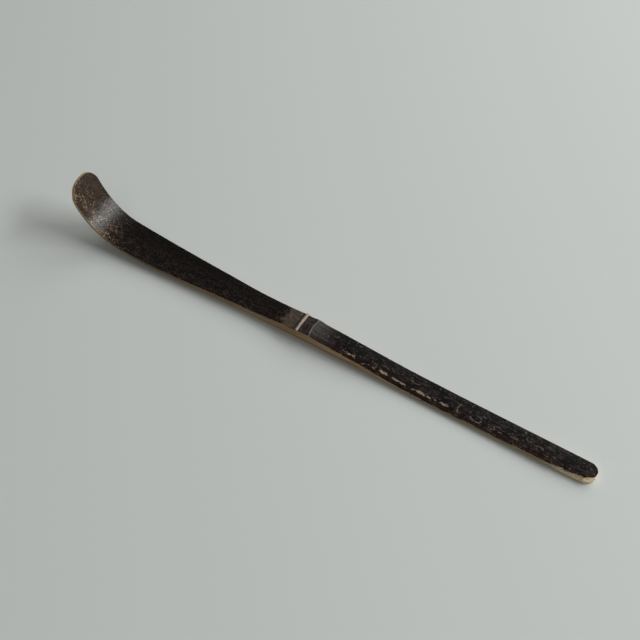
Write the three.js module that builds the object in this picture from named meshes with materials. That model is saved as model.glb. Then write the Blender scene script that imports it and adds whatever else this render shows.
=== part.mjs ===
import * as THREE from "three";

// Bamboo tea scoop: one narrow strip of culm, carved flat underneath and bent up by heat at the tip.
// It rests on its flat underside, tail towards +X and tip towards -X. Lengths are in mm, angles in degrees.
// A station is a distance from the tail end, measured along the strip as it was before bending.

// Outline of the strip, seen from above
const LENGTH = 180;
const TAIL_WIDTH = 5.7;
const HANDLE_WIDTH = 6.7;
const NODE_WIDTH = 6.4;
const NECK_WIDTH = 7.2;
const BLADE_WIDTH = 11.2;
const TIP_WIDTH = 11.5;
const TAIL_CORNER_RADIUS = 2.3;
const TAIL_CROWN = 0.3;
const TIP_CORNER_RADIUS = 3.8;
const TIP_CROWN = 1.8;
const TIP_SKEW = 1.8;

// Thickness, skin included
const TAIL_THICKNESS = 2.3;
const HANDLE_THICKNESS = 1.7;
const NODE_THICKNESS = 3.8;
const NECK_THICKNESS = 2.85;
const BLADE_THICKNESS = 2.7;
const BEND_THICKNESS = 1.2;
const TIP_THICKNESS = 1.0;
const SKIN_THICKNESS = 0.35;
const SIDE_DROP = 0.15;

// Bevel round the underside, which is flat from the tail to where the bend starts
const UNDERSIDE_BEVEL = 0.25;

// Culm node: the sheath scar, and the rounded nodal ridge on its tail side
const SCAR_SHARE_OF_LENGTH = 0.498;
const SCAR_LENGTH = 1.1;
const SCAR_RISE = 0.45;
const SWELL_RISE = 0.25;
const SWELL_HALF_LENGTH = 2.6;
const RIDGE_TO_SCAR = 3.6;
const RIDGE_RISE = 0.5;
const RIDGE_HALF_LENGTH = 1.7;
const NECK_SHARE_OF_NODE_TO_BEND = 0.53;

// Heat bend at the tip
const TIP_ANGLE = 75;
const BEND_LENGTH = 60;
const BEND_SHARES = [[0, 0], [0.23, 0.04], [0.43, 0.09], [0.57, 0.13], [0.7, 0.48], [0.85, 0.82], [1, 1]];

// Mesh density
const COLUMNS = 12;
const HANDLE_ROWS = 46;
const SCAR_ROWS = 4;
const BLADE_ROWS = 58;
const PATH_STEP = 0.25;

// Place of the lower face among a box geometry's six groups
const LOWER_FACE = 5;

const BEND_START = LENGTH - BEND_LENGTH;
const BLADE_STATION = LENGTH - 0.57 * BEND_LENGTH;
const SCAR_STATION = LENGTH * SCAR_SHARE_OF_LENGTH;
const SCAR_END = SCAR_STATION + SCAR_LENGTH;
const RIDGE_STATION = SCAR_STATION - RIDGE_TO_SCAR;
const NECK_STATION = THREE.MathUtils.lerp(SCAR_STATION, BEND_START, NECK_SHARE_OF_NODE_TO_BEND);

// A smooth curve through a few [station, value] pairs
function profile(pairs) {
  const stations = pairs.map((pair) => pair[0]);
  const values = pairs.map((pair) => pair[1]);
  const curve = new THREE.CubicInterpolant(stations, values, 1);
  return (station) => curve.evaluate(station)[0];
}

const width = profile([
  [0, TAIL_WIDTH],
  [SCAR_STATION / 2, HANDLE_WIDTH],
  [RIDGE_STATION, NODE_WIDTH],
  [NECK_STATION, NECK_WIDTH],
  [BLADE_STATION, BLADE_WIDTH],
  [LENGTH, TIP_WIDTH],
]);

const thickness = profile([
  [0, TAIL_THICKNESS],
  [0.58 * SCAR_STATION, HANDLE_THICKNESS],
  [RIDGE_STATION, NODE_THICKNESS],
  [NECK_STATION, NECK_THICKNESS],
  [BEND_START, BLADE_THICKNESS],
  [LENGTH - 0.46 * BEND_LENGTH, BEND_THICKNESS],
  [LENGTH, TIP_THICKNESS],
]);

const bendShare = profile(BEND_SHARES);

function bendAngle(station) {
  const along = (station - BEND_START) / BEND_LENGTH;
  const share = along > 0 ? bendShare(Math.min(along, 1)) : 0;
  return THREE.MathUtils.degToRad(TIP_ANGLE * share);
}

// The underside's line from the tail to the tip, as [run, rise] at every step
function undersidePath() {
  const path = [[0, 0]];
  for (let station = 0; station < LENGTH; station += PATH_STEP) {
    const [run, rise] = path[path.length - 1];
    const angle = bendAngle(station + PATH_STEP / 2);
    path.push([run + PATH_STEP * Math.cos(angle), rise + PATH_STEP * Math.sin(angle)]);
  }
  return path;
}

const UNDERSIDE = undersidePath();

// Where a point of the straight strip goes once the strip is bent
function bent(station, across, height) {
  const step = Math.min(Math.floor(station / PATH_STEP), UNDERSIDE.length - 2);
  const share = station / PATH_STEP - step;
  const run = THREE.MathUtils.lerp(UNDERSIDE[step][0], UNDERSIDE[step + 1][0], share);
  const rise = THREE.MathUtils.lerp(UNDERSIDE[step][1], UNDERSIDE[step + 1][1], share);
  const angle = bendAngle(station);
  return new THREE.Vector3(height * Math.sin(angle) - run, across, rise + height * Math.cos(angle));
}

// The outer face is a little convex across the handle and goes flat along the blade
function sideDrop(station, side) {
  const flattened = THREE.MathUtils.smoothstep(station, NECK_STATION, BLADE_STATION);
  return SIDE_DROP * side * side * (1 - flattened);
}

// A rounded rise across the strip
function swelling(station, centre, rise, halfLength) {
  return rise * Math.exp(-(((station - centre) / halfLength) ** 2));
}

function skinTop(station, side) {
  const body = thickness(station) - sideDrop(station, side);
  const ridge = swelling(station, RIDGE_STATION, RIDGE_RISE, RIDGE_HALF_LENGTH);
  return body + ridge + swelling(station, SCAR_END, SWELL_RISE, SWELL_HALF_LENGTH);
}

function skinSeat(station, side) {
  return skinTop(station, side) - SKIN_THICKNESS;
}

// How far an end with rounded corners and a slight crown falls back at a given side (-1 to 1)
function endSetback(side, endWidth, radius, crown) {
  const intoCorner = Math.max(Math.abs(side) * endWidth / 2 - (endWidth / 2 - radius), 0);
  const corner = radius - Math.sqrt(Math.max(radius * radius - intoCorner * intoCorner, 0));
  return corner + crown * side * side;
}

function tailEdge(side) {
  return endSetback(side, TAIL_WIDTH, TAIL_CORNER_RADIUS, TAIL_CROWN);
}

// The tip is cut a little askew: its -Y corner lies further back
function tipEdge(side) {
  const skew = TIP_SKEW * (1 - side) / 2;
  return LENGTH - skew - endSetback(side, TIP_WIDTH, TIP_CORNER_RADIUS, TIP_CROWN);
}

// Stretches of the strip from the tail to the tip. Every piece takes its rows from these, so pieces meet.
const STRETCHES = {
  handle: { rows: HANDLE_ROWS, start: tailEdge, end: () => SCAR_STATION },
  scar: { rows: SCAR_ROWS, start: () => SCAR_STATION, end: () => SCAR_END },
  blade: { rows: BLADE_ROWS, start: () => SCAR_END, end: tipEdge },
};

// The station function of every row of the named stretches, tail end first
function rowsOf(names) {
  const rows = [];
  names.forEach((name, order) => {
    const { rows: count, start, end } = STRETCHES[name];
    for (let i = order === 0 ? 0 : 1; i <= count; i += 1) {
      rows.push((side) => THREE.MathUtils.lerp(start(side), end(side), i / count));
    }
  });
  return rows;
}

// Splits the squares of a box's lower face along the diagonal that its upper face uses, so that a piece
// and the one it lies on share a single surface
function splitLowerFaceAsUpper(geometry) {
  const { start, count } = geometry.groups[LOWER_FACE];
  for (let i = start; i < start + count; i += 6) {
    const [a, b, d, , c] = geometry.index.array.slice(i, i + 6);
    geometry.index.array.set([a, b, c, a, c, d], i);
  }
}

// A box of rows, columns and levels, with every corner of its grid moved to where it lies on the scoop
function gridSolid(rows, levels, cornerAt) {
  const last = rows.length - 1;
  const geometry = new THREE.BoxGeometry(last, COLUMNS, levels, last, COLUMNS, levels);
  const position = geometry.attributes.position;
  for (let i = 0; i < position.count; i += 1) {
    const row = Math.round(last / 2 - position.getX(i));
    const column = Math.round(position.getY(i) + COLUMNS / 2);
    const level = Math.round(position.getZ(i) + levels / 2);
    const side = Math.sin((Math.PI / 2) * ((2 * column) / COLUMNS - 1));
    const corner = cornerAt(rows[row](side), side, level, row);
    position.setXYZ(i, corner.x, corner.y, corner.z);
  }
  splitLowerFaceAsUpper(geometry);
  geometry.computeVertexNormals();
  return geometry;
}

// Pale inner flesh of the culm over some stretches, bevelled round its underside
function flesh(stretches) {
  return gridSolid(rowsOf(stretches), 2, (station, side, level) => {
    if (level > 0) {
      const height = level === 1 ? UNDERSIDE_BEVEL : skinSeat(station, side);
      return bent(station, side * width(station) / 2, height);
    }
    const share = station / LENGTH;
    const inset = THREE.MathUtils.lerp(UNDERSIDE_BEVEL, -UNDERSIDE_BEVEL, share);
    const across = side * (width(station) / 2 - UNDERSIDE_BEVEL);
    return bent(station + inset, across, 0);
  });
}

// Dark outer skin over one stretch of the flesh
function skin(stretch) {
  return gridSolid(rowsOf([stretch]), 1, (station, side, level) => {
    const height = level === 0 ? skinSeat(station, side) : skinTop(station, side);
    return bent(station, side * width(station) / 2, height);
  });
}

// Low pale ridge where the sheath grew, between the two stretches of skin
function sheathScar() {
  return gridSolid(rowsOf(["scar"]), 1, (station, side, level, row) => {
    const rise = SCAR_RISE * Math.sin((Math.PI * row) / SCAR_ROWS);
    const height = level === 0 ? skinSeat(station, side) : skinTop(station, side) + rise;
    return bent(station, side * width(station) / 2, height);
  });
}

function piece(name, geometry, color, roughness) {
  const material = new THREE.MeshStandardMaterial({ color, roughness, metalness: 0 });
  const mesh = new THREE.Mesh(geometry, material);
  mesh.name = name;
  return mesh;
}

function teaScoop() {
  const scoop = new THREE.Group();
  scoop.name = "tea_scoop";
  scoop.add(piece("handle_flesh", flesh(["handle"]), 0xa98a66, 0.7));
  scoop.add(piece("blade_flesh", flesh(["scar", "blade"]), 0xa98a66, 0.7));
  scoop.add(piece("handle_skin", skin("handle"), 0x2b2724, 0.42));
  scoop.add(piece("sheath_scar", sheathScar(), 0xb59a88, 0.65));
  scoop.add(piece("blade_skin", skin("blade"), 0x33271f, 0.38));
  const centre = new THREE.Box3().setFromObject(scoop).getCenter(new THREE.Vector3());
  scoop.children.forEach((mesh) => mesh.geometry.translate(-centre.x, 0, 0));
  return scoop;
}

export default teaScoop();
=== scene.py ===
"""Looks for the bamboo tea scoop: detailed rind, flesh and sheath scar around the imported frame."""

import math

import bpy
import numpy as np
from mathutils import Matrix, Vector


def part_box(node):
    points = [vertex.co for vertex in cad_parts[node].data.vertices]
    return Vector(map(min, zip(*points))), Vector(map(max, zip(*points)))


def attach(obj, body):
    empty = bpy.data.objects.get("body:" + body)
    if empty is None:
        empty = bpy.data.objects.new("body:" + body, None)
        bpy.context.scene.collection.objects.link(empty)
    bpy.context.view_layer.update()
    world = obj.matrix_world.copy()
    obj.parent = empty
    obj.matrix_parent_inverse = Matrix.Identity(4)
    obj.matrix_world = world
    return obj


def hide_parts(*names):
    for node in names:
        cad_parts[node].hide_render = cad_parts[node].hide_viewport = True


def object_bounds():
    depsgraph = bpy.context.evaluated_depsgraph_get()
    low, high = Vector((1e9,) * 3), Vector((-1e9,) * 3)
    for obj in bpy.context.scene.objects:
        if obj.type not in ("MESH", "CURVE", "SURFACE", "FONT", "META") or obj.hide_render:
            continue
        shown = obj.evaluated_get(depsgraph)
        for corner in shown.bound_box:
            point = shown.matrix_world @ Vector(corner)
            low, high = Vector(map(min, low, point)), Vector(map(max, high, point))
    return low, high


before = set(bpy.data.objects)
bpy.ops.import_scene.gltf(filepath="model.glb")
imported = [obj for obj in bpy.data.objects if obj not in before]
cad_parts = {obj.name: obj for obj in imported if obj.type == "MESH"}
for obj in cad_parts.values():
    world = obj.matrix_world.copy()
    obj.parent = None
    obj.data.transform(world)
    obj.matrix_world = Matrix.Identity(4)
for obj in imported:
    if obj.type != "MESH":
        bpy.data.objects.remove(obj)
cad_low, cad_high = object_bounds()

# ---------------------------------------------------------------- dimensions, mm and degrees
LENGTH = 180.0
TAIL_WIDTH, HANDLE_WIDTH, NODE_WIDTH = 5.7, 6.7, 6.4
NECK_WIDTH, BLADE_WIDTH, TIP_WIDTH = 7.2, 11.2, 11.5
TAIL_CORNER_RADIUS, TAIL_CROWN = 2.3, 0.3
TIP_CORNER_RADIUS, TIP_CROWN, TIP_SKEW = 3.8, 1.8, 1.8
TAIL_THICKNESS, HANDLE_THICKNESS, NODE_THICKNESS = 2.3, 1.7, 3.8
NECK_THICKNESS, BLADE_THICKNESS, BEND_THICKNESS, TIP_THICKNESS = 2.85, 2.7, 1.2, 1.0
SKIN_THICKNESS = 0.35
SIDE_DROP = 0.15
UNDERSIDE_BEVEL = 0.25
SCAR_SHARE_OF_LENGTH, SCAR_LENGTH, SCAR_RISE = 0.498, 1.1, 0.45
SWELL_RISE, SWELL_HALF_LENGTH = 0.25, 2.6
RIDGE_TO_SCAR, RIDGE_RISE, RIDGE_HALF_LENGTH = 3.6, 0.5, 1.7
NECK_SHARE_OF_NODE_TO_BEND = 0.53
TIP_ANGLE, BEND_LENGTH = 75.0, 60.0
BEND_SHARES = [(0, 0), (0.23, 0.04), (0.43, 0.09), (0.57, 0.13), (0.7, 0.48), (0.85, 0.82), (1, 1)]
PATH_STEP = 0.25

# Stations: distances from the tail, measured along the strip as it was before bending
BEND_START = LENGTH - BEND_LENGTH
BLADE_STATION = LENGTH - 0.57 * BEND_LENGTH
SCAR = LENGTH * SCAR_SHARE_OF_LENGTH
SCAR_END = SCAR + SCAR_LENGTH
RIDGE = SCAR - RIDGE_TO_SCAR
NECK = SCAR + NECK_SHARE_OF_NODE_TO_BEND * (BEND_START - SCAR)

MM = 0.001
MM_PER_M = 1000.0
TAIL_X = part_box("handle_flesh")[1].x * MM_PER_M


def curve_through(pairs):
    """The CAD's smooth curve through a few (station, value) pairs."""
    at = np.array([p[0] for p in pairs], float)
    value = np.array([p[1] for p in pairs], float)
    last = len(at) - 1

    def evaluate(x):
        x = np.clip(np.asarray(x, float), at[0], at[-1])
        i1 = np.clip(np.searchsorted(at, x, side="right"), 1, last)
        i0 = i1 - 1
        before = np.where(i0 == 0, i1, i0 - 1)
        after = np.where(i1 == last, i0, np.minimum(i1 + 1, last))
        half = (at[i1] - at[i0]) / 2
        wb = half / (at[i0] - at[before])
        wa = half / (at[after] - at[i1])
        p = (x - at[i0]) / (at[i1] - at[i0])
        p2, p3 = p * p, p * p * p
        return (
            (-wb * p3 + 2 * wb * p2 - wb * p) * value[before]
            + ((1 + wb) * p3 - (1.5 + 2 * wb) * p2 + (wb - 0.5) * p + 1) * value[i0]
            + ((-1 - wa) * p3 + (1.5 + wa) * p2 + 0.5 * p) * value[i1]
            + (wa * p3 - wa * p2) * value[after]
        )

    return evaluate


width = curve_through(
    [
        (0, TAIL_WIDTH),
        (SCAR / 2, HANDLE_WIDTH),
        (RIDGE, NODE_WIDTH),
        (NECK, NECK_WIDTH),
        (BLADE_STATION, BLADE_WIDTH),
        (LENGTH, TIP_WIDTH),
    ]
)
thickness = curve_through(
    [
        (0, TAIL_THICKNESS),
        (0.58 * SCAR, HANDLE_THICKNESS),
        (RIDGE, NODE_THICKNESS),
        (NECK, NECK_THICKNESS),
        (BEND_START, BLADE_THICKNESS),
        (LENGTH - 0.46 * BEND_LENGTH, BEND_THICKNESS),
        (LENGTH, TIP_THICKNESS),
    ]
)
bend_share = curve_through(BEND_SHARES)


def smooth(x, low, high):
    """From 0 at low to 1 at high, easing at both."""
    t = np.clip((np.asarray(x, float) - low) / (high - low), 0, 1)
    return t * t * (3 - 2 * t)


def bend_angle(station):
    along = (np.asarray(station, float) - BEND_START) / BEND_LENGTH
    return np.radians(TIP_ANGLE * np.where(along > 0, bend_share(np.clip(along, 0, 1)), 0))


# The underside's line from the tail to the tip
PATH_AT = np.arange(0, LENGTH + 2 * PATH_STEP, PATH_STEP)
PATH_ANGLE = bend_angle(PATH_AT[:-1] + PATH_STEP / 2)
PATH_RUN = np.concatenate([[0], np.cumsum(PATH_STEP * np.cos(PATH_ANGLE))])
PATH_RISE = np.concatenate([[0], np.cumsum(PATH_STEP * np.sin(PATH_ANGLE))])


def bent(station, across, height):
    """Points of the straight strip, mm, carried to where they lie on the bent scoop, m."""
    run = np.interp(station, PATH_AT, PATH_RUN)
    rise = np.interp(station, PATH_AT, PATH_RISE)
    angle = bend_angle(station)
    x = TAIL_X + height * np.sin(angle) - run
    return np.stack([x, across, rise + height * np.cos(angle)], -1) * MM


def swelling(station, centre, rise, half_length):
    """A rounded rise across the strip."""
    return rise * np.exp(-(((station - centre) / half_length) ** 2))


def skin_top(station, side):
    """Height of the CAD's outer face. side runs from -1 at the near edge to 1 at the far one."""
    flattened = smooth(station, NECK, BLADE_STATION)
    body = thickness(station) - SIDE_DROP * side * side * (1 - flattened)
    ridge = swelling(station, RIDGE, RIDGE_RISE, RIDGE_HALF_LENGTH)
    return body + ridge + swelling(station, SCAR_END, SWELL_RISE, SWELL_HALF_LENGTH)


def end_setback(side, end_width, radius, crown):
    """How far an end with rounded corners and a slight crown falls back."""
    into = np.maximum(np.abs(side) * end_width / 2 - (end_width / 2 - radius), 0)
    return radius - np.sqrt(np.maximum(radius * radius - into * into, 0)) + crown * side * side


def tail_edge(side):
    return end_setback(side, TAIL_WIDTH, TAIL_CORNER_RADIUS, TAIL_CROWN)


def tip_edge(side):
    skew = TIP_SKEW * (1 - side) / 2
    return LENGTH - skew - end_setback(side, TIP_WIDTH, TIP_CORNER_RADIUS, TIP_CROWN)


# ---------------------------------------------------------------- seeded unevenness
WORD = 0xFFFFFFFF


def lattice_value(x, y, seed):
    """A value from -1 to 1 for a point with whole coordinates: a 32-bit integer hash of them."""
    n = x.astype(np.int64) * 374761393 + y.astype(np.int64) * 668265263
    n = (n + seed * 1442695041) & WORD
    n = ((n ^ (n >> 13)) * 1274126177) & WORD
    n = ((n ^ (n >> 16)) * 2246822519) & WORD
    return (n ^ (n >> 15)) / (WORD / 2) - 1


def unevenness(x, y, seed):
    """Smooth noise from -1 to 1, with one bump for each unit of x and y."""
    x, y = np.broadcast_arrays(np.asarray(x, float), np.asarray(y, float))
    x0, y0 = np.floor(x), np.floor(y)
    fx, fy = x - x0, y - y0
    fx, fy = fx * fx * (3 - 2 * fx), fy * fy * (3 - 2 * fy)
    low = lattice_value(x0, y0, seed) * (1 - fx) + lattice_value(x0 + 1, y0, seed) * fx
    high = lattice_value(x0, y0 + 1, seed) * (1 - fx) + lattice_value(x0 + 1, y0 + 1, seed) * fx
    return low * (1 - fy) + high * fy


# ---------------------------------------------------------------- lattice shells
# Columns from an edge to the middle, as shares of the half width: close together at the edge
EDGE_STEPS = [0.0, 0.002, 0.01, 0.022, 0.038, 0.06, 0.095, 0.14]
INNER = np.linspace(0.19, 1.0, 17)
HALF = np.concatenate([EDGE_STEPS, INNER])
SIDES = np.concatenate([HALF - 1, (1 - HALF)[::-1][1:]])
AT_EDGE = 0.999

# Rows, mm: evenly spaced, and close together at a rounded end
ROW_STEP = 0.3
END_STEPS = np.array([0.0, 0.02, 0.05, 0.09, 0.14, 0.2, 0.3, 0.45, 0.65, 0.9])
SCAR_ROW_COUNT = 13

# The faces of a shell's lattice. The last two are its ends.
TOP, UNDER, NEAR, FAR, TAIL, TIP = range(6)
ENDS = (TAIL, TIP)

# The strip map: its size, and where each face lies in it, mm, so that no two faces share a pattern
MAP_SIZE = 100.0
END_ALONG = 30.0
UNDER_ACROSS, NEAR_ACROSS, FAR_ACROSS, END_ACROSS = 20.0, 40.0, 50.0, 60.0


def row_shares(length, soft_start, soft_end):
    """Places of the rows along a stretch, from 0 to 1, closer together at a rounded end."""
    start = END_STEPS if soft_start else np.array([0.0])
    end = END_STEPS if soft_end else np.array([0.0])
    middle = np.linspace(start[-1], length - end[-1], int(round(length / ROW_STEP)) + 1)
    return np.concatenate([start[:-1], middle, (length - end[::-1])[1:]]) / length


def stretch(start, end, soft_start=False, soft_end=False):
    """Stations of every row and column of a stretch of the strip, rows from the tail end."""
    start = np.broadcast_to(np.asarray(start, float), SIDES.shape)
    end = np.broadcast_to(np.asarray(end, float), SIDES.shape)
    share = row_shares(float(end.mean() - start.mean()), soft_start, soft_end)[:, None]
    return start[None, :] * (1 - share) + end[None, :] * share


HANDLE_ROWS = stretch(tail_edge(SIDES), SCAR, soft_start=True)
SCAR_ROWS = np.linspace(0, 1, SCAR_ROW_COUNT)[:, None] * SCAR_LENGTH + SCAR + 0 * SIDES[None, :]
BLADE_ROWS = stretch(SCAR_END, tip_edge(SIDES), soft_end=True)
SCAR_AND_BLADE_ROWS = np.concatenate([SCAR_ROWS, BLADE_ROWS[1:]])


def shell(name, stations, levels, place, extras):
    """A closed skin over a lattice of rows, sides and levels, and the kind of each of its faces.

    place(station, side, level) gives (station, across, height) arrays in mm for one level.
    extras(station, side, height) gives the named numbers that the materials read."""
    rows, sides = stations.shape
    side = np.broadcast_to(SIDES[None, :], stations.shape)
    points, strips, numbers = [], [], []
    for level in range(levels + 1):
        s, y, h = place(stations, side, level)
        points.append(bent(s, y, h))
        strips.append(np.stack([s, y, h], -1))
        numbers.append(extras(stations, side, h))
    points = np.stack(points, 2)
    strips = np.stack(strips, 2)
    ids = np.arange(rows * sides * (levels + 1)).reshape(rows, sides, levels + 1)

    def quads(face):
        corner_ids = [face[:-1, :-1], face[1:, :-1], face[1:, 1:], face[:-1, 1:]]
        return np.stack(corner_ids, -1).reshape(-1, 4)

    groups = {
        TOP: quads(ids[:, :, -1])[:, ::-1],
        UNDER: quads(ids[:, :, 0]),
        NEAR: quads(ids[:, 0, :])[:, ::-1],
        FAR: quads(ids[:, -1, :]),
        TAIL: quads(ids[0, :, :]),
        TIP: quads(ids[-1, :, :])[:, ::-1],
    }
    faces = np.concatenate(list(groups.values()))
    kinds = np.concatenate([np.full(len(group), kind) for kind, group in groups.items()])
    used, corners = np.unique(faces, return_inverse=True)
    corners = corners.reshape(faces.shape)
    mesh = bpy.data.meshes.new(name)
    mesh.from_pydata(points.reshape(-1, 3)[used].tolist(), [], corners.tolist())
    per_corner = strips.reshape(-1, 3)[used][corners]
    s, y, h = per_corner[..., 0], per_corner[..., 1], per_corner[..., 2]
    kind = kinds[:, None]
    is_end = np.isin(kind, ENDS)
    u = np.where(is_end, y + END_ALONG, s)
    v = np.select(
        [kind == TOP, kind == UNDER, kind == NEAR, kind == FAR],
        [y, y + UNDER_ACROSS, h + NEAR_ACROSS, h + FAR_ACROSS],
        h + END_ACROSS,
    )
    uv = mesh.uv_layers.new(name="strip")
    uv.data.foreach_set("uv", (np.stack([u, v], -1) / MAP_SIZE).astype(np.float32).ravel())
    for key in numbers[0]:
        values = np.stack([np.broadcast_to(n[key], stations.shape) for n in numbers], 2)
        values = values.reshape(-1)[used].astype(np.float32)
        mesh.attributes.new(key, "FLOAT", "POINT").data.foreach_set("value", values)
    mesh.polygons.foreach_set("use_smooth", ~is_end[:, 0])
    mesh.update()
    made = bpy.data.objects.new(name, mesh)
    bpy.context.scene.collection.objects.link(made)
    return made, kinds


def rounded(distance, radius):
    """How far a surface falls within radius of its edge."""
    d = np.clip(distance, 0, radius)
    return radius - np.sqrt(np.maximum(radius * radius - (radius - d) ** 2, 0))


def side_gap(station, side):
    """Distance to the nearer long edge."""
    return (1 - np.abs(side)) * width(station) / 2


def end_gap(station, side):
    """Distance to the nearer end of the strip."""
    return np.maximum(np.minimum(station - tail_edge(side), tip_edge(side) - station), 0)


# ---------------------------------------------------------------- what wear and the knife have done
PARED_DEPTH = 0.78
PARED_FROM, PARED_TO = 4.0, 11.5


def paring(station):
    """How far the rind was pared back from the near side, close to the tail."""
    cut = PARED_DEPTH * (1 - smooth(station, PARED_FROM, PARED_TO))
    ragged = 0.46 * unevenness(station / 0.95, 0, 3) + 0.26 * unevenness(station / 0.45, 0, 4)
    return np.maximum(cut + ragged * smooth(cut, 0, 0.3), 0)


def pared(station, side):
    """Shift across the strip, and along it at the tail's end, of the pared edge."""
    near = np.clip(-side, 0, 1) ** 1.6
    across = paring(station) * near
    toothed = 1 + 0.45 * unevenness(side * TAIL_WIDTH / 1.9, 0, 5)
    along = 0.55 * toothed * smooth(-side, -0.35, 0.9) * (1 - smooth(station, 0, 6))
    return across, along


def side_wave(station, height, seed):
    """Shallow knife marks down the side faces."""
    long = 0.035 * unevenness(station / 7.0, height / 4.0, seed)
    return long + 0.012 * unevenness(station / 1.3, height / 0.35, seed + 1)


# Worn spots in the rind: (station, side, length, width, depth of colour from 0 to 1)
WORN_SPOTS = [
    (75.9, -0.80, 1.8, 0.35, 0.45),
    (74.2, -0.56, 1.0, 0.45, 0.8),
    (73.2, -0.62, 0.9, 0.5, 1.0),
    (72.0, -0.50, 1.4, 0.4, 0.95),
    (71.6, -0.66, 1.0, 0.35, 0.7),
    (68.6, -0.80, 1.0, 0.35, 0.8),
    (67.0, -0.58, 1.2, 0.35, 0.6),
    (65.6, -0.62, 1.6, 0.35, 0.75),
    (65.2, -0.18, 2.2, 0.3, 0.6),
    (64.8, -0.40, 1.2, 0.3, 0.55),
    (62.3, -0.52, 2.4, 0.75, 1.0),
    (62.0, -0.24, 1.0, 0.3, 0.5),
    (58.4, -0.52, 2.2, 0.45, 1.0),
    (56.2, -0.52, 1.7, 0.5, 0.95),
    (55.3, -0.66, 1.0, 0.35, 0.6),
    (52.8, -0.55, 0.9, 0.4, 0.75),
    (50.4, -0.50, 2.6, 0.7, 1.0),
    (48.0, -0.52, 1.2, 0.55, 0.95),
    (46.0, -0.46, 0.8, 0.4, 0.7),
    (45.6, -0.70, 1.1, 0.3, 0.55),
    (43.4, -0.45, 2.3, 0.6, 1.0),
    (39.7, -0.15, 0.4, 2.4, 0.5),
    (39.0, -0.55, 0.9, 0.35, 0.55),
    (34.6, -0.45, 1.0, 0.3, 0.5),
    (33.2, -0.58, 1.5, 0.3, 0.6),
    (32.4, -0.20, 0.7, 0.35, 0.55),
    (29.0, -0.50, 1.3, 0.35, 0.6),
    (26.7, -0.50, 1.1, 0.4, 0.7),
    (23.0, -0.32, 1.0, 0.35, 0.5),
    (15.9, -0.12, 1.5, 0.35, 0.5),
    (13.4, -0.50, 1.5, 0.35, 0.6),
    (11.4, -0.30, 0.9, 0.35, 0.55),
]


def worn(station, side):
    """From 0 to 1, how near a point is to the middle of a worn spot."""
    found = np.zeros(np.broadcast(station, side).shape)
    across = side * width(station) / 2
    for at, where, length, breadth, strength in WORN_SPOTS:
        dy = across - where * float(width(at)) / 2
        wobble = 0.12 * unevenness(station / 0.5, 0, int(at * 10))
        reach = ((station - at) / (length / 2)) ** 2 + ((dy + wobble) / (breadth / 2)) ** 2
        found = np.maximum(found, strength * np.clip(1.35 - 0.5 * reach, 0, 1))
    return found


def past_crest(station, side):
    """Distance beyond the slightly wandering crest of the nodal ridge, towards the tip."""
    across = side * width(station) / 2
    bow = 0.12 * np.abs(side) ** 3
    return station - RIDGE - 0.22 + bow - 0.22 * unevenness(across / 1.7, 0, 15)


def rind_relief(station, side):
    """Small rises and dips of the outer skin, mm."""
    across = side * width(station) / 2
    fibres = 0.010 * unevenness(station / 9.0, across / 0.22, 11)
    fibres = fibres + 0.006 * unevenness(station / 4.0, across / 0.11, 12)
    waves = 0.020 * unevenness(station / 9.0, across / 2.5, 13)
    past = past_crest(station, side)
    band = smooth(past, 0.1, 0.55) * (1 - smooth(station, SCAR - 0.35, SCAR - 0.02))
    knots = band * (0.05 * unevenness(station / 0.75, across / 0.6, 14) - 0.13)
    crest = 0.11 * np.exp(-((past / np.where(past > 0, 0.26, 0.42)) ** 2))
    after = smooth(station, RIDGE - 12, RIDGE - 0.5) * (1 - smooth(past, -0.3, 0.0))
    wrinkles = 0.03 * after * unevenness(station / 3.2, across / 0.28, 16)
    spots = -0.05 * smooth(worn(station, side), 0.25, 0.8)
    groove = -0.07 * np.exp(-(((station - SCAR_END - 0.45) / 0.4) ** 2))
    pimples = 0.014 * unevenness(station / 0.55, across / 0.45, 17)
    pimples = pimples + 0.02 * unevenness(station / 2.1, across / 1.4, 18)
    groove_and_blade = groove + pimples * smooth(station, 118, 140)
    return fibres + waves + knots + crest + wrinkles + spots + groove_and_blade


RIND_EDGE_RADIUS = 0.14
THINNEST_RIND = 0.05
# Levels of the rind's side faces, as shares of its thickness
RIND_LEVELS = [0.0, 0.4, 0.75, 1.0]
# The rind and the flesh share their knife marks, so that their side faces meet
WAVE_SEED = 21


def rind_top(station, side, along_shift):
    """Height of the rind's outer surface where its point was pared back by along_shift."""
    fall = rounded(np.minimum(side_gap(station, side), end_gap(station, side)), RIND_EDGE_RADIUS)
    relief = rind_relief(station + along_shift, side) * smooth(side_gap(station, side), 0, 0.25)
    top = skin_top(station + along_shift, side)
    return np.maximum(top - fall + relief, top - SKIN_THICKNESS + THINNEST_RIND)


def rind_piece(name, stations):
    """The skin over one stretch: its top follows the culm, its sides show how thin it is."""

    def place(station, side, level):
        across_shift, along_shift = pared(station, side)
        s = station + along_shift
        seat = skin_top(s, side) - SKIN_THICKNESS
        h = seat + (rind_top(station, side, along_shift) - seat) * RIND_LEVELS[level]
        y = side * width(s) / 2 + across_shift
        if level < len(RIND_LEVELS) - 1:
            wave = np.sign(side) * side_wave(s, h, WAVE_SEED)
            y = y + np.where(np.abs(side) > AT_EDGE, wave, 0)
        return s, y, h

    def extras(station, side, height):
        along_shift = pared(station, side)[1]
        return {
            "side": side,
            "depth": rind_top(station, side, along_shift) - height,
            "edge": np.minimum(side_gap(station, side), end_gap(station, side) + 0.05),
            "worn": worn(station, side),
            "crest": past_crest(station, side),
        }

    return shell(name, stations, len(RIND_LEVELS) - 1, place, extras)


def underside_round(station):
    """Radius of the underside's carved long corners, wider along the handle and the blade."""
    handle = 0.55 * smooth(station, 6, 14) * (1 - smooth(station, 58, 80))
    blade = 0.75 * smooth(station, 98, 110) * (1 - smooth(station, 130, 148))
    return UNDERSIDE_BEVEL + 0.1 + handle + blade


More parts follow.
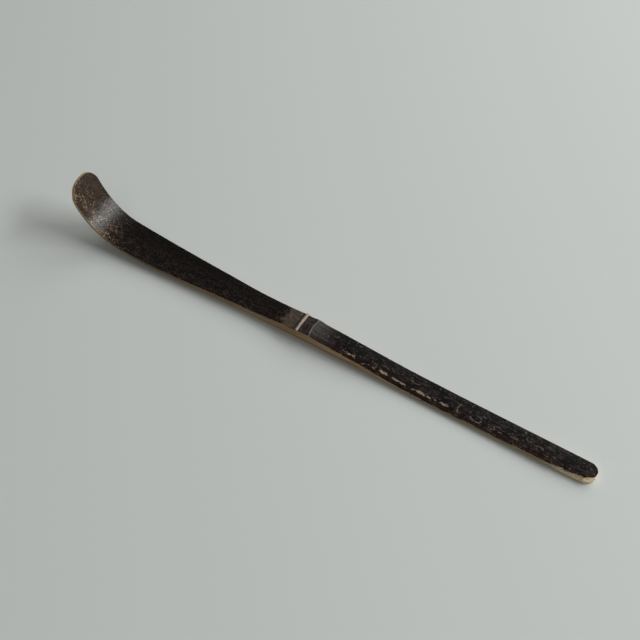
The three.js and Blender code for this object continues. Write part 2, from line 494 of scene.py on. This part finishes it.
def knife_marks(station, across):
    """Height of the carved underside above the plane that the scoop rests on."""
    facets = 0.05 * (1 + unevenness(station / 13.0, across / 2.4, 31))
    facets = facets + 0.02 * (1 + unevenness(station / 5.0, across / 0.5, 32))
    bulge = 0.10 * np.exp(-(((station - RIDGE - 1.2) / 1.5) ** 2))
    septum = bulge * (1 + unevenness(station / 0.8, across / 0.9, 33))
    touching = smooth(station, 2, 4) * (1 - smooth(station, 26, 32))
    touching = touching + smooth(station, 108, 112) * (1 - smooth(station, 118, 122))
    return (facets + septum) * (1 - np.clip(touching, 0, 1))


# Levels of the flesh's side faces, as shares of the height from the rounded underside to the rind
WALL_LEVELS = np.array([0.0, 0.12, 0.3, 0.5, 0.7, 0.86]) / 0.86
SEAT_LEVEL = len(WALL_LEVELS) + 1


def flesh_piece(name, stations):
    """The pale flesh over one stretch: carved sides, a knife-faceted underside and a cut end."""

    def place(station, side, level):
        across_shift, along_shift = pared(station, side)
        if level == SEAT_LEVEL:
            s = station + along_shift
            return s, side * width(s) / 2 + across_shift, skin_top(s, side) - SKIN_THICKNESS
        across = side * width(station) / 2
        carved = knife_marks(station, across)
        radius = underside_round(station)
        if level == 0:
            gap = np.minimum(side_gap(station, side), end_gap(station, side))
            return station, across, carved + rounded(gap, radius)
        lip = carved + radius
        pared_away = 0.5 * np.clip(across_shift + along_shift, 0, 0.8)
        shoulder = skin_top(station, side) - SKIN_THICKNESS - pared_away
        h = lip + (shoulder - lip) * WALL_LEVELS[level - 1]
        if level > 1:
            wave = np.sign(side) * side_wave(station, h, WAVE_SEED)
            across = across + wave * (np.abs(side) > AT_EDGE)
        return station, across, h

    def extras(station, side, height):
        return {"side": side, "depth": skin_top(station, side) - height}

    return shell(name, stations, SEAT_LEVEL, place, extras)


# Levels of the scar's side faces, as shares of its height
SCAR_LEVELS = [0.0, 0.45, 0.8, 1.0]


def scar_piece():
    """The raised sheath scar: a lumpy pale cord of tissue with torn fibre ends."""

    def place(station, side, level):
        across = side * width(station) / 2
        seat = skin_top(station, side) - SKIN_THICKNESS
        share = np.clip((station - SCAR) / SCAR_LENGTH, 0, 1)
        lumps = 1 + 0.22 * unevenness(across / 0.55, station / 0.9, 41)
        lumps = lumps + 0.10 * unevenness(across / 0.2, station / 0.4, 42)
        rise = SCAR_RISE * np.sin(np.pi * share) ** 0.7 * lumps
        sag = rounded(side_gap(station, side), 0.2)
        top = skin_top(station, side) + rise - sag - 0.02
        bulge = 0.16 * np.sin(np.pi * share) * np.sign(side) * smooth(np.abs(side), 0.8, 0.97)
        lean = 0.16 * unevenness(across / 1.4, 0, 43) * np.sin(np.pi * share)
        h = seat + (top - seat) * SCAR_LEVELS[level]
        leaning = station + lean * (level / (len(SCAR_LEVELS) - 1))
        return leaning, across + bulge * (0.4 + 0.2 * level), h

    def extras(station, side, height):
        return {"side": side, "depth": skin_top(station, side) - height}

    return shell("sheath_scar_ridge", SCAR_ROWS, len(SCAR_LEVELS) - 1, place, extras)


# ---------------------------------------------------------------- materials
class Paint:
    """A procedural material, built node by node, with a map in mm along and across the fibres."""

    def __init__(self, name):
        self.material = bpy.data.materials.new(name)
        self.material.use_nodes = True
        self.tree = self.material.node_tree
        self.tree.nodes.clear()
        self.out = self.tree.nodes.new("ShaderNodeOutputMaterial")
        self.shader = self.tree.nodes.new("ShaderNodeBsdfPrincipled")
        self.tree.links.new(self.shader.outputs[0], self.out.inputs[0])
        uv = self.tree.nodes.new("ShaderNodeUVMap")
        uv.uv_map = "strip"
        self.strip = self.vector("MULTIPLY", uv.outputs[0], (MAP_SIZE, MAP_SIZE, 0.0))

    def put(self, socket, value):
        """Links another node's output to the socket, or sets the socket's own value."""
        if isinstance(value, bpy.types.NodeSocket):
            self.tree.links.new(value, socket)
        elif value is not None:
            socket.default_value = value

    def vector(self, operation, a, b):
        node = self.tree.nodes.new("ShaderNodeVectorMath")
        node.operation = operation
        self.put(node.inputs[0], a)
        self.put(node.inputs[1], b)
        return node.outputs[0]

    def measure(self, operation, a, b=None):
        """A vector operation whose result is one number."""
        node = self.tree.nodes.new("ShaderNodeVectorMath")
        node.operation = operation
        self.put(node.inputs[0], a)
        self.put(node.inputs[1], b)
        return node.outputs["Value"]

    def math(self, operation, a, b=None):
        node = self.tree.nodes.new("ShaderNodeMath")
        node.operation = operation
        self.put(node.inputs[0], a)
        self.put(node.inputs[1], b)
        return node.outputs[0]

    def times(self, a, b):
        return self.math("MULTIPLY", a, b)

    def plus(self, a, b):
        return self.math("ADD", a, b)

    def most(self, a, b):
        return self.math("MAXIMUM", a, b)

    def number(self, name):
        """One of the named numbers that a shell carries at its points."""
        node = self.tree.nodes.new("ShaderNodeAttribute")
        node.attribute_name = name
        return node.outputs["Fac"]

    def along(self):
        """The station, or the distance across the strip on an end face."""
        node = self.tree.nodes.new("ShaderNodeSeparateXYZ")
        self.put(node.inputs[0], self.strip)
        return node.outputs[0]

    def grain(self, along, across, detail=2.0, roughness=0.5, distortion=0.0, shift=0.0):
        """Noise with features of about the given size in mm, along and across the fibres."""
        scaled = self.vector("MULTIPLY", self.strip, (1.0 / along, 1.0 / across, 0.0))
        moved = self.vector("ADD", scaled, (shift, shift * 0.37, shift * 0.71))
        node = self.tree.nodes.new("ShaderNodeTexNoise")
        self.put(node.inputs["Vector"], moved)
        node.inputs["Scale"].default_value = 1.0
        node.inputs["Detail"].default_value = detail
        node.inputs["Roughness"].default_value = roughness
        node.inputs["Distortion"].default_value = distortion
        return node.outputs["Fac"]

    def cells(self, along, across, shift=0.0):
        """Distance to the nearest of many scattered points, in cells of the given size in mm."""
        scaled = self.vector("MULTIPLY", self.strip, (1.0 / along, 1.0 / across, 0.0))
        moved = self.vector("ADD", scaled, (shift, shift, 0.0))
        node = self.tree.nodes.new("ShaderNodeTexVoronoi")
        self.put(node.inputs["Vector"], moved)
        node.inputs["Scale"].default_value = 1.0
        return node.outputs["Distance"]

    def span(self, value, low, high, to_low=0.0, to_high=1.0):
        """Eases from to_low where the value is low to to_high where it is high."""
        node = self.tree.nodes.new("ShaderNodeMapRange")
        node.interpolation_type = "SMOOTHSTEP"
        node.clamp = True
        self.put(node.inputs["Value"], value)
        ends = {"From Min": low, "From Max": high, "To Min": to_low, "To Max": to_high}
        for name, end in ends.items():
            node.inputs[name].default_value = end
        return node.outputs["Result"]

    def mix(self, share, a, b):
        node = self.tree.nodes.new("ShaderNodeMix")
        node.data_type = "RGBA"
        node.clamp_factor = True
        self.put(node.inputs[0], share)
        self.put(node.inputs[6], a if isinstance(a, bpy.types.NodeSocket) else (*a, 1.0))
        self.put(node.inputs[7], b if isinstance(b, bpy.types.NodeSocket) else (*b, 1.0))
        return node.outputs[2]

    def bump(self, height, distance, previous=None):
        node = self.tree.nodes.new("ShaderNodeBump")
        node.inputs["Strength"].default_value = 1.0
        node.inputs["Distance"].default_value = distance
        self.put(node.inputs["Height"], height)
        self.put(node.inputs["Normal"], previous)
        return node.outputs[0]

    def finish(self, color, roughness, normal, specular):
        self.put(self.shader.inputs["Base Color"], color)
        self.put(self.shader.inputs["Roughness"], roughness)
        self.put(self.shader.inputs["Normal"], normal)
        self.shader.inputs["Specular IOR Level"].default_value = specular
        return self.material


# Linear colours
FLESH_CREAM = (0.76, 0.62, 0.42)
FLESH_PALE = (0.48, 0.345, 0.19)
FLESH_TAN = (0.30, 0.185, 0.085)
FLESH_DARK = (0.16, 0.09, 0.04)
# Painted shade for the flesh along the blade
FLESH_PAINTED_SHADE = (0.155, 0.098, 0.05)
FLESH_STAIN = (0.26, 0.18, 0.10)
END_LIGHT = (0.84, 0.72, 0.52)
END_SHADE = (0.64, 0.50, 0.32)
END_VESSEL = (0.22, 0.13, 0.065)
SCAR_PALE = (0.43, 0.335, 0.285)
SCAR_TAN = (0.27, 0.195, 0.155)
SCAR_FIBRE = (0.17, 0.12, 0.095)
# Painted shade for the scar's blade side
SCAR_PAINTED_SHADE = (0.040, 0.022, 0.015)
SCAR_HANDLE_SIDE = (0.07, 0.05, 0.04)
HANDLE_BLACK = (0.0020, 0.0015, 0.0017)
HANDLE_CHARCOAL = (0.0075, 0.0056, 0.0056)
HANDLE_MOTTLE = (0.026, 0.0185, 0.0165)
HANDLE_RED = (0.0180, 0.0075, 0.0062)
HANDLE_DUST = (0.088, 0.068, 0.061)
HANDLE_CHIP = (0.17, 0.115, 0.08)
HANDLE_CURL = (0.22, 0.165, 0.13)
BAND_DARK = (0.0125, 0.0095, 0.0090)
BAND_PALE = (0.060, 0.046, 0.043)
# Painted sheen behind the nodal ridge and painted highlight on its crest
PAINTED_RIDGE_SHEEN = (0.094, 0.089, 0.083)
PAINTED_CREST_HIGHLIGHT = (0.23, 0.215, 0.20)
WORN_PALE = (0.42, 0.325, 0.205)
WORN_BROWN = (0.17, 0.105, 0.06)
BLADE_BLACK = (0.0018, 0.0012, 0.0011)
BLADE_CHARCOAL = (0.0070, 0.0042, 0.0038)
BLADE_BROWN = (0.027, 0.0150, 0.0100)
BLADE_LIGHT_BROWN = (0.054, 0.0315, 0.0205)
BLADE_MOTTLE = (0.0135, 0.0075, 0.0065)
BLADE_GOLD = (0.44, 0.29, 0.145)
BLADE_DUST = (0.060, 0.052, 0.056)
# Painted shade for the groove beside the scar
GROOVE_PAINTED_SHADE = (0.013, 0.0065, 0.0050)
PATCH_DARK = (0.040, 0.029, 0.022)
PATCH_PALE = (0.110, 0.080, 0.053)
FLOOR_PALE = (0.605, 0.63, 0.618)


def flesh_color(p):
    """Tan and honey fibres, cream near the tail and darkened by painted shade along the blade, with
    brown vessels.
    """
    broad = p.grain(22.0, 1.1, 3.0, 0.6, shift=3.1)
    fine = p.grain(6.0, 0.16, 3.0, 0.6, shift=7.7)
    vessels = p.grain(9.0, 0.12, 2.0, 0.5, shift=12.9)
    color = p.mix(p.span(broad, 0.35, 0.68), FLESH_PALE, FLESH_TAN)
    color = p.mix(p.times(p.span(fine, 0.42, 0.70), 0.55), color, FLESH_TAN)
    color = p.mix(p.times(p.span(vessels, 0.60, 0.74), 0.6), color, FLESH_DARK)
    # Painted shade: the flesh darkens towards the bend, but not in the last mm before the tip
    painted_shade_toward_bend = p.span(p.along(), 95.0, 150.0, 0.0, 0.75)
    before_tip = p.span(p.along(), 176.0, 167.0)
    color = p.mix(p.times(painted_shade_toward_bend, before_tip), color, FLESH_PAINTED_SHADE)
    color = p.mix(p.times(p.span(p.along(), 14.0, 8.0), 0.9), color, FLESH_CREAM)
    under_rind = p.span(p.number("depth"), 0.9, 0.3)
    return p.mix(p.times(under_rind, 0.25), color, FLESH_TAN), fine, vessels


def flesh_material():
    """The flesh's carved faces: straight fibres, some stains and fine scratches."""
    p = Paint("carved_bamboo_flesh")
    color, fine, vessels = flesh_color(p)
    stain = p.grain(16.0, 3.5, 4.0, 0.6, shift=21.0)
    color = p.mix(p.times(p.span(stain, 0.52, 0.75), 0.4), color, FLESH_STAIN)
    scratches = p.grain(1.2, 0.7, 4.0, 0.7, shift=30.0)
    normal = p.bump(fine, 0.00006)
    normal = p.bump(vessels, 0.00004, normal)
    normal = p.bump(scratches, 0.00003, normal)
    return p.finish(color, p.span(fine, 0.3, 0.7, 0.50, 0.72), normal, specular=0.3)


def end_grain_material():
    """The flesh's cut ends, dotted with the vessel bundles."""
    p = Paint("bamboo_end_grain")
    bundles = p.cells(0.34, 0.30)
    dots = p.span(bundles, 0.42, 0.25)
    mottle = p.grain(0.9, 0.5, 3.0, 0.6, shift=4.0)
    color = p.mix(p.span(mottle, 0.3, 0.7), END_LIGHT, END_SHADE)
    color = p.mix(p.times(dots, 0.5), color, END_VESSEL)
    normal = p.bump(bundles, 0.00005)
    normal = p.bump(p.grain(0.25, 0.25, 3.0, 0.7, shift=9.0), 0.00004, normal)
    return p.finish(color, p.span(mottle, 0.3, 0.7, 0.6, 0.8), normal, specular=0.3)


def scar_material():
    """Pale lumpy tissue, dark where it meets the skin on either side: painted shade on the blade
    side, a darker tone on the handle side.
    """
    p = Paint("sheath_scar_tissue")
    lumps = p.grain(0.5, 0.45, 3.0, 0.6, shift=2.0)
    fibres = p.grain(2.6, 0.19, 2.0, 0.5, shift=5.0)
    color = p.mix(p.span(lumps, 0.32, 0.66), SCAR_PALE, SCAR_TAN)
    color = p.mix(p.times(p.span(fibres, 0.48, 0.64), 0.6), color, SCAR_FIBRE)
    # Painted shade on the scar's blade-facing slope, which faces away from the light
    painted_shade_on_blade_side = p.span(p.along(), SCAR_END - 0.30, SCAR_END - 0.04)
    color = p.mix(p.times(painted_shade_on_blade_side, 0.92), color, SCAR_PAINTED_SHADE)
    handle_side = p.span(p.along(), SCAR + 0.16, SCAR)
    color = p.mix(p.times(handle_side, 0.7), color, SCAR_HANDLE_SIDE)
    normal = p.bump(fibres, 0.00010)
    normal = p.bump(lumps, 0.00010, normal)
    return p.finish(color, p.span(lumps, 0.3, 0.7, 0.55, 0.75), normal, specular=0.3)


def rind_side(p, color):
    """Shows the flesh on the rind's cut sides, below its thin dark layer, and on its worn edges."""
    flesh, _fine, _vessels = flesh_color(p)
    ragged = p.grain(2.6, 0.8, 5.0, 0.62, shift=17.0)
    below = p.plus(p.number("depth"), p.span(ragged, 0.25, 0.75, -0.06, 0.06))
    bare = p.span(below, 0.09, 0.13)
    worn_corner = p.math("SUBTRACT", p.span(ragged, 0.30, 0.72, -0.05, 0.17), p.number("edge"))
    near_edge = p.span(p.number("side"), 0.2, -0.2)
    corner = p.times(p.span(worn_corner, 0.02, 0.06), near_edge)
    corner = p.times(corner, p.span(p.along(), 118.0, 96.0, 0.25, 0.9))
    tip_rim = p.times(p.span(p.number("edge"), 0.26, 0.12), p.span(p.along(), 150.0, 164.0))
    tip_rim = p.times(tip_rim, p.span(p.number("side"), 0.9, 0.4))
    corner = p.most(corner, tip_rim)
    return p.mix(p.most(bare, corner), color, flesh), bare


# Hair-thin curved marks on the handle:
# (station, side, reach along, reach across, direction in which the curve is open, strength)
CURLS = [
    (39.3, -0.10, 0.35, 1.25, (-1.0, 0.1), 0.50),
    (38.9, -0.47, 0.55, 0.16, (-0.2, 1.0), 0.50),
    (34.0, -0.36, 1.55, 0.70, (0.1, 1.0), 0.50),
    (33.4, -0.10, 0.60, 0.25, (0.4, -1.0), 0.40),
    (29.2, -0.40, 0.75, 0.50, (0.9, 0.5), 0.40),
    (27.6, -0.18, 0.60, 0.45, (0.3, -1.0), 0.30),
    (53.2, 0.15, 1.10, 0.30, (-0.3, 1.0), 0.40),
    (62.6, 0.02, 0.90, 0.25, (0.4, -1.0), 0.35),
    (22.8, -0.30, 0.85, 0.40, (0.3, 1.0), 0.35),
    (19.0, 0.15, 0.80, 0.45, (-0.5, 1.0), 0.30),
    (15.8, -0.15, 0.90, 0.40, (0.4, -1.0), 0.35),
]


def curl_marks(p):
    """From 0 to 1, how strongly the curved marks show: each is most of a thin oval ring."""
    total = None
    for at, where, along, across, (toward_tip, toward_far), strength in CURLS:
        middle = (at, where * float(width(at)) / 2, 0.0)
        arm = p.vector("SUBTRACT", p.strip, middle)
        ringed = p.vector("MULTIPLY", arm, (1.0 / along, 1.0 / across, 0.0))
        reach = p.measure("LENGTH", ringed)
        thin = 0.11 / max(min(along, across), 0.3)
        line = p.span(p.math("ABSOLUTE", p.math("SUBTRACT", reach, 1.0)), thin * 1.5, thin * 0.5)
        open_side = p.measure("DOT_PRODUCT", ringed, (toward_tip, toward_far, 0.0))
        mark = p.times(p.times(line, p.span(open_side, 0.45, 0.05)), strength)
        total = mark if total is None else p.most(total, mark)
    return total


def handle_material():
    """Smoked black skin with dust, chips, curled marks and worn spots, up to the scar, and a painted
    sheen and painted highlight at the nodal ridge.
    """
    p = Paint("smoked_handle_rind")
    along = p.along()
    streaks = p.grain(7.0, 0.20, 4.0, 0.65, shift=1.0)
    patches = p.grain(9.0, 1.9, 3.0, 0.6, shift=5.0)
    color = p.mix(p.span(streaks, 0.34, 0.70), HANDLE_BLACK, HANDLE_CHARCOAL)
    mottle = p.grain(1.8, 0.90, 3.0, 0.55, shift=36.0)
    wandering = p.plus(along, p.span(patches, 0.3, 0.7, 14.0, -14.0))
    toward_tail = p.span(wandering, 62.0, 12.0, 0.62, 1.0)
    color = p.mix(p.times(p.span(mottle, 0.49, 0.63), toward_tail), color, HANDLE_MOTTLE)
    reddish = p.times(p.span(p.number("side"), -0.35, -0.8), p.span(patches, 0.35, 0.6))
    color = p.mix(p.times(reddish, 0.6), color, HANDLE_RED)
    dust = p.grain(0.80, 0.48, 2.0, 0.5, shift=8.0)
    where_dusty = p.span(p.grain(4.5, 1.6, 2.0, 0.5, shift=41.0), 0.40, 0.60, 0.25, 1.0)
    color = p.mix(p.times(p.span(dust, 0.60, 0.68), where_dusty), color, HANDLE_DUST)
    chips = p.grain(0.85, 0.33, 3.0, 0.6, 0.6, shift=14.0)
    more_near_tail = p.span(along, 62.0, 40.0, 0.25, 1.0)
    color = p.mix(p.times(p.span(chips, 0.64, 0.69), more_near_tail), color, HANDLE_CHIP)
    color = p.mix(curl_marks(p), color, HANDLE_CURL)
    crest = p.number("crest")
    band = p.times(p.span(crest, 0.05, 0.35), p.span(along, SCAR, SCAR - 0.25, 0.5, 1.0))
    band_mottle = p.grain(0.7, 0.45, 3.0, 0.6, shift=19.0)
    band_color = p.mix(p.span(band_mottle, 0.38, 0.62), BAND_DARK, BAND_PALE)
    color = p.mix(p.times(band, 0.95), color, band_color)
    # Painted sheen: grey on the handle side of the nodal ridge, where that slope would catch the
    # light, fading towards the tail
    painted_sheen = p.times(p.span(along, RIDGE - 9.0, RIDGE - 0.2), p.span(crest, 0.15, 0.0))
    painted_sheen = p.times(painted_sheen, p.span(p.number("side"), -0.95, -0.55, 0.45, 1.0))
    color = p.mix(p.times(painted_sheen, p.span(streaks, 0.35, 0.65, 0.15, 0.85)), color, PAINTED_RIDGE_SHEEN)
    # Painted highlight: a thin pale line along the crest of the nodal ridge
    painted_crest_highlight = p.span(p.math("ABSOLUTE", crest), 0.30, 0.10)
    painted_crest_highlight = p.times(painted_crest_highlight, p.span(band_mottle, 0.36, 0.6, 0.25, 0.9))
    color = p.mix(painted_crest_highlight, color, PAINTED_CREST_HIGHLIGHT)
    worn_depth = p.number("worn")
    spot_noise = p.grain(0.80, 0.20, 4.0, 0.65, 0.8, shift=25.0)
    spot = p.span(p.plus(worn_depth, p.span(spot_noise, 0.25, 0.75, -0.62, 0.52)), 0.52, 0.62)
    spot_fibres = p.grain(0.5, 0.15, 2.0, 0.6, shift=2.5)
    spot_color = p.mix(p.span(spot_fibres, 0.35, 0.65), WORN_PALE, WORN_BROWN)
    color = p.mix(p.times(spot, p.span(worn_depth, 0.2, 0.9, 0.45, 1.0)), color, spot_color)
    normal = p.bump(streaks, 0.000045)
    normal = p.bump(p.grain(1.2, 0.13, 3.0, 0.7, shift=33.0), 0.00003, normal)
    normal = p.bump(p.math("SUBTRACT", 1.0, spot), 0.00005, normal)
    color, bare = rind_side(p, color)
    gloss = p.span(streaks, 0.3, 0.7, 0.32, 0.48)
    rough = p.most(gloss, p.times(p.most(spot, bare), 0.68))
    return p.finish(color, rough, normal, specular=0.08)


def blade_material():
    """Smoked dark skin, browner and speckled with gold at the bend, paler next to the scar, with
    painted shade in the groove beside the scar.
    """
    p = Paint("smoked_blade_rind")
    along = p.along()
    streaks = p.grain(8.0, 0.24, 4.0, 0.65, shift=2.0)
    clouds = p.grain(7.0, 2.4, 4.0, 0.65, shift=6.0)
    color = p.mix(p.span(streaks, 0.36, 0.68), BLADE_BLACK, BLADE_CHARCOAL)
    toward_tip = p.span(p.plus(along, p.span(clouds, 0.2, 0.8, -6.0, 6.0)), 156.0, 171.0)
    brown = p.mix(p.span(clouds, 0.35, 0.65), BLADE_BROWN, BLADE_LIGHT_BROWN)
    color = p.mix(toward_tip, color, brown)
    mottle = p.grain(1.15, 0.90, 4.0, 0.65, shift=9.0)
    dark_spots = p.times(p.span(mottle, 0.50, 0.62), p.span(toward_tip, 0.0, 1.0, 0.15, 0.9))
    color = p.mix(dark_spots, color, BLADE_MOTTLE)
    near_side = p.span(p.number("side"), 0.75, -0.9, 0.15, 1.0)
    specks = p.grain(0.50, 0.42, 3.0, 0.6, shift=3.0)
    gathered = p.span(p.grain(2.6, 1.8, 2.0, 0.5, shift=11.0), 0.36, 0.60, -0.06, 0.05)
    speck_mask = p.span(p.plus(specks, gathered), 0.585, 0.65)
    at_bend = p.span(along, 150.0, 166.0, 0.12, 1.0)
    gold = p.times(speck_mask, p.times(at_bend, near_side))
    color = p.mix(gold, color, BLADE_GOLD)
    fine_specks = p.grain(0.34, 0.28, 3.0, 0.6, shift=15.0)
    dust = p.times(p.span(fine_specks, 0.57, 0.69), p.span(p.number("side"), 0.7, -0.8, 0.12, 1.0))
    color = p.mix(p.times(dust, 0.8), color, BLADE_DUST)
    patch_edge = p.grain(1.9, 1.3, 3.0, 0.6, shift=18.0)
    patch_reach = p.plus(along, p.span(patch_edge, 0.2, 0.8, -1.3, 1.3))
    patch = p.span(patch_reach, SCAR_END + 6.0, SCAR_END + 4.0)
    patch_noise = p.grain(1.1, 0.9, 4.0, 0.65, shift=22.0)
    patch_color = p.mix(p.span(patch_noise, 0.36, 0.66), PATCH_DARK, PATCH_PALE)
    color = p.mix(p.times(patch, 0.9), color, patch_color)
    # Painted shade in the groove just past the scar
    groove = p.span(along, SCAR_END + 1.15, SCAR_END + 0.25)
    color = p.mix(p.times(groove, 0.85), color, GROOVE_PAINTED_SHADE)
    normal = p.bump(streaks, 0.00004)
    normal = p.bump(mottle, 0.00007, normal)
    normal = p.bump(p.grain(0.35, 0.25, 3.0, 0.7, shift=27.0), 0.000035, normal)
    color, bare = rind_side(p, color)
    gloss = p.span(mottle, 0.3, 0.7, 0.20, 0.34)
    rough = p.most(gloss, p.times(p.most(bare, patch), 0.60))
    return p.finish(color, rough, normal, specular=0.30)


def floor_material():
    p = Paint("pale_floor")
    p.put(p.shader.inputs["Base Color"], (*FLOOR_PALE, 1.0))
    p.shader.inputs["Roughness"].default_value = 0.85
    p.shader.inputs["Specular IOR Level"].default_value = 0.2
    return p.material


# ---------------------------------------------------------------- the pieces
def dress(made, materials, node):
    """Materials, body and replaced node of one piece. A second material is for its ends."""
    piece, kinds = made
    for material in materials:
        piece.data.materials.append(material)
    if len(materials) > 1:
        index = np.isin(kinds, ENDS).astype(np.int32)
        piece.data.polygons.foreach_set("material_index", index)
    piece.data.update()
    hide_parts(node)
    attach(piece, "root")


flesh_materials = [flesh_material(), end_grain_material()]
handle_flesh = flesh_piece("bamboo_handle_flesh", HANDLE_ROWS)
blade_flesh = flesh_piece("bamboo_blade_flesh", SCAR_AND_BLADE_ROWS)
dress(handle_flesh, flesh_materials, "handle_flesh")
dress(blade_flesh, flesh_materials, "blade_flesh")
dress(rind_piece("handle_rind", HANDLE_ROWS), [handle_material()], "handle_skin")
dress(scar_piece(), [scar_material()], "sheath_scar")
dress(rind_piece("blade_rind", BLADE_ROWS), [blade_material()], "blade_skin")

# ---------------------------------------------------------------- floor, light and camera
# Lengths in metres, angles in degrees, a lens in mm
FLOOR_REACH = 4.0
FLOOR_GAP = 0.00002
CAMERA_AIM = Vector((TAIL_X * MM - 0.08771, 0.00579, 0.0))
CAMERA_AZIMUTH, CAMERA_ELEVATION, CAMERA_DISTANCE = 31.98, 53.59, 0.26909
CAMERA_LENS, CAMERA_SENSOR = 51.75, 36.0
DAYLIGHT = (0.985, 1.0, 0.995)
WARM_LIGHT = (1.0, 0.975, 0.91)
ROOM_COLOR, ROOM_STRENGTH = (1.0, 0.985, 0.95), 0.095

centre = (cad_low + cad_high) / 2

floor_mesh = bpy.data.meshes.new("floor")
signs = [(-1, -1), (1, -1), (1, 1), (-1, 1)]
floor_corners = [(x * FLOOR_REACH, y * FLOOR_REACH, 0) for x, y in signs]
floor_mesh.from_pydata(floor_corners, [], [(0, 1, 2, 3)])
floor = bpy.data.objects.new("floor", floor_mesh)
floor.location.z = cad_low.z - FLOOR_GAP
floor_mesh.materials.append(floor_material())
bpy.context.scene.collection.objects.link(floor)


def toward(azimuth, elevation):
    """Unit vector from the object towards a viewer at this azimuth and elevation."""
    a, e = math.radians(azimuth), math.radians(elevation)
    return Vector((math.sin(a) * math.cos(e), -math.cos(a) * math.cos(e), math.sin(e)))


def window(name, azimuth, elevation, distance, size, power, color):
    """A rectangular area light that faces the object."""
    light = bpy.data.lights.new(name, "AREA")
    light.shape = "RECTANGLE"
    light.size, light.size_y = size
    light.energy = power
    light.color = color
    lamp = bpy.data.objects.new(name, light)
    back = toward(azimuth, elevation)
    lamp.location = Vector((centre.x, centre.y, 0)) + back * distance
    lamp.rotation_mode = "QUATERNION"
    lamp.rotation_quaternion = back.to_track_quat("Z", "Y")
    bpy.context.scene.collection.objects.link(lamp)


window("window", 120.0, 38.0, 1.3, (0.80, 0.27), 11.0, DAYLIGHT)
window("sky", 168.0, 30.0, 1.6, (1.5, 0.8), 14.5, DAYLIGHT)
window("fill", 20.0, 52.0, 1.6, (1.5, 1.1), 2.9, WARM_LIGHT)

world = bpy.data.worlds.new("studio")
world.use_nodes = True
background = world.node_tree.nodes["Background"]
background.inputs["Color"].default_value = (*ROOM_COLOR, 1.0)
background.inputs["Strength"].default_value = ROOM_STRENGTH
bpy.context.scene.world = world

camera_data = bpy.data.cameras.new("camera")
camera_data.sensor_width = CAMERA_SENSOR
camera_data.lens = CAMERA_LENS
camera_data.clip_start = 0.01
camera_data.clip_end = 20.0
camera = bpy.data.objects.new("camera", camera_data)
camera_back = toward(CAMERA_AZIMUTH, CAMERA_ELEVATION)
camera.location = CAMERA_AIM + camera_back * CAMERA_DISTANCE
camera.rotation_mode = "QUATERNION"
camera.rotation_quaternion = camera_back.to_track_quat("Z", "Y")
bpy.context.scene.collection.objects.link(camera)
bpy.context.scene.camera = camera
bpy.context.scene.view_settings.view_transform = "Standard"
